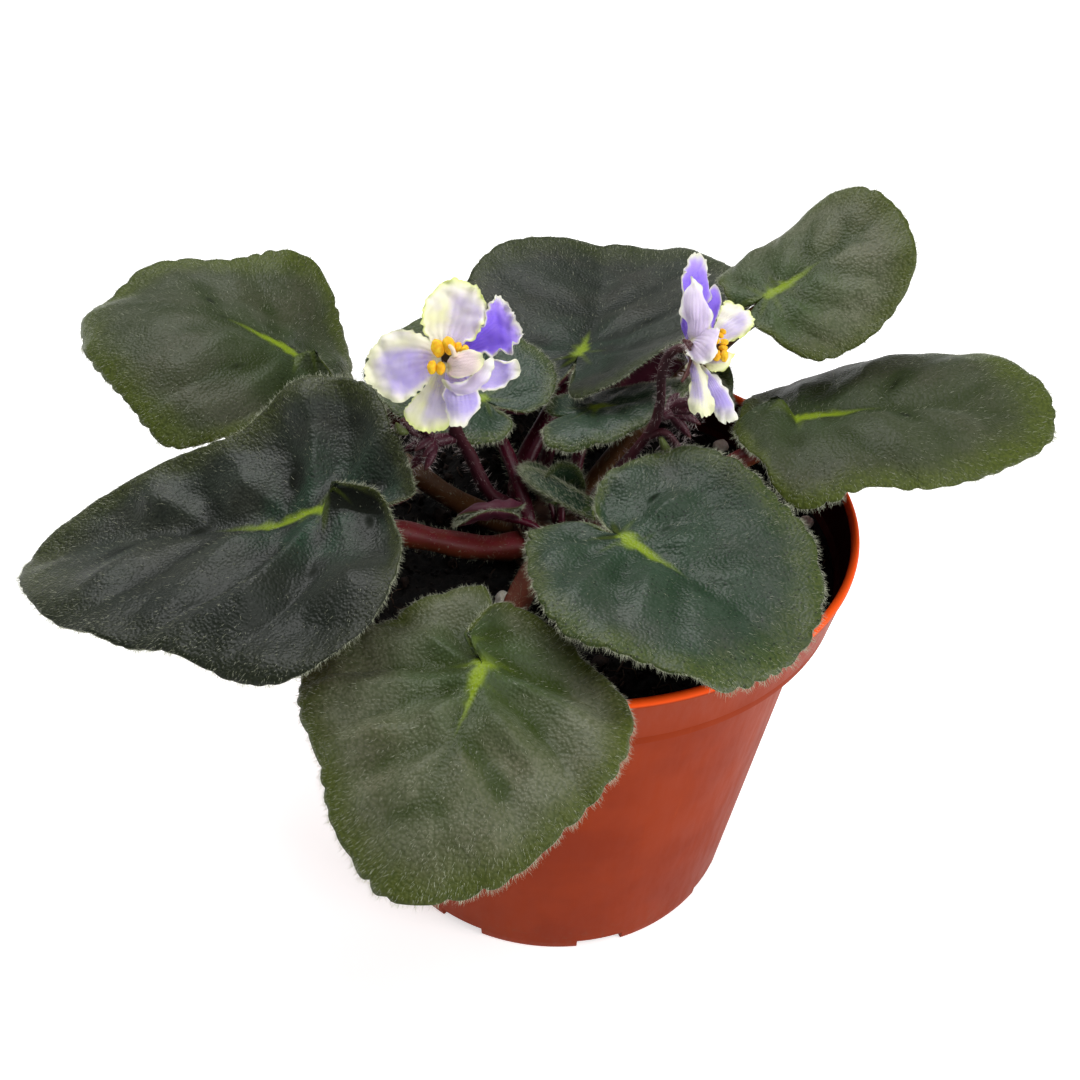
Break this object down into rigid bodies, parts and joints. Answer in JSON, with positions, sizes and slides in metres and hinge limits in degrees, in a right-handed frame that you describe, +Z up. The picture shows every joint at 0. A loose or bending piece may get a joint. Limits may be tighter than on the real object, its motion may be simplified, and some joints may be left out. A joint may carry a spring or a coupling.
{
  "type": "potted african violet",
  "caption": "African violet with a rosette of stalked, hairy heart-shaped leaves and ruffled flowers, growing in a tapered plastic pot filled with potting mix.",
  "frame": {"origin": "centre of the pot's flat base, on the surface it stands on", "axes": "+Z up along the pot's axis; +Y away from the viewer who sees the two flowers in front of the back leaves, with the longest leaf on the left at -X; +X to that viewer's right"},
  "size_m": [0.1803, 0.1575, 0.1371],
  "materials": {
    "terracotta_plastic": "satin",
    "potting_mix": "matte",
    "perlite": "matte",
    "crown": "matte",
    "leaf_green": "satin",
    "leaf_purple": "satin",
    "stalk": "satin",
    "flower_stem": "satin",
    "calyx": "matte",
    "petal_cream": "matte",
    "petal_lilac": "matte",
    "petal_purple": "matte",
    "anthers": "matte"
  },
  "bodies": {
    "root": {"pot": "terracotta_plastic", "potting_mix": "potting_mix", "perlite_grain_1": "perlite", "perlite_grain_2": "perlite", "perlite_grain_3": "perlite", "perlite_grain_4": "perlite", "crown": "crown", "leaf_front": "leaf_green", "stalk_front": "stalk", "leaf_front_right": "leaf_green", "stalk_front_right": "stalk", "leaf_left": "leaf_green", "stalk_left": "stalk", "leaf_right": "leaf_green", "stalk_right": "stalk", "leaf_back_right": "leaf_green", "stalk_back_right": "stalk", "leaf_back": "leaf_green", "stalk_back": "stalk", "leaf_back_left": "leaf_green", "stalk_back_left": "stalk", "leaf_inner_left": "leaf_green", "stalk_inner_left": "stalk", "leaf_inner_right": "leaf_green", "stalk_inner_right": "stalk", "leaf_inner_back": "leaf_purple", "stalk_inner_back": "stalk", "leaf_young_front": "leaf_green", "stalk_young_front": "stalk", "leaf_young_back": "leaf_purple", "stalk_young_back": "stalk", "leaf_young_left": "leaf_purple", "stalk_young_left": "stalk", "flower_left_stem": "flower_stem", "flower_left_calyx": "calyx", "flower_left_petal_top": "petal_cream", "flower_left_petal_upper_right": "petal_purple", "flower_left_petal_left": "petal_lilac", "flower_left_petal_bottom": "petal_cream", "flower_left_petal_lower_right": "petal_lilac", "flower_left_petal_inner_right": "petal_cream", "flower_left_anthers": "anthers", "flower_right_stem": "flower_stem", "flower_right_calyx": "calyx", "flower_right_petal_top_inner": "petal_purple", "flower_right_petal_top_outer": "petal_cream", "flower_right_petal_side_near": "petal_cream", "flower_right_petal_side_far": "petal_lilac", "flower_right_petal_bottom_near": "petal_lilac", "flower_right_petal_bottom_far": "petal_purple", "flower_right_anthers": "anthers", "buds_left": "calyx", "buds_right": "calyx"}
  },
  "joints": []
}
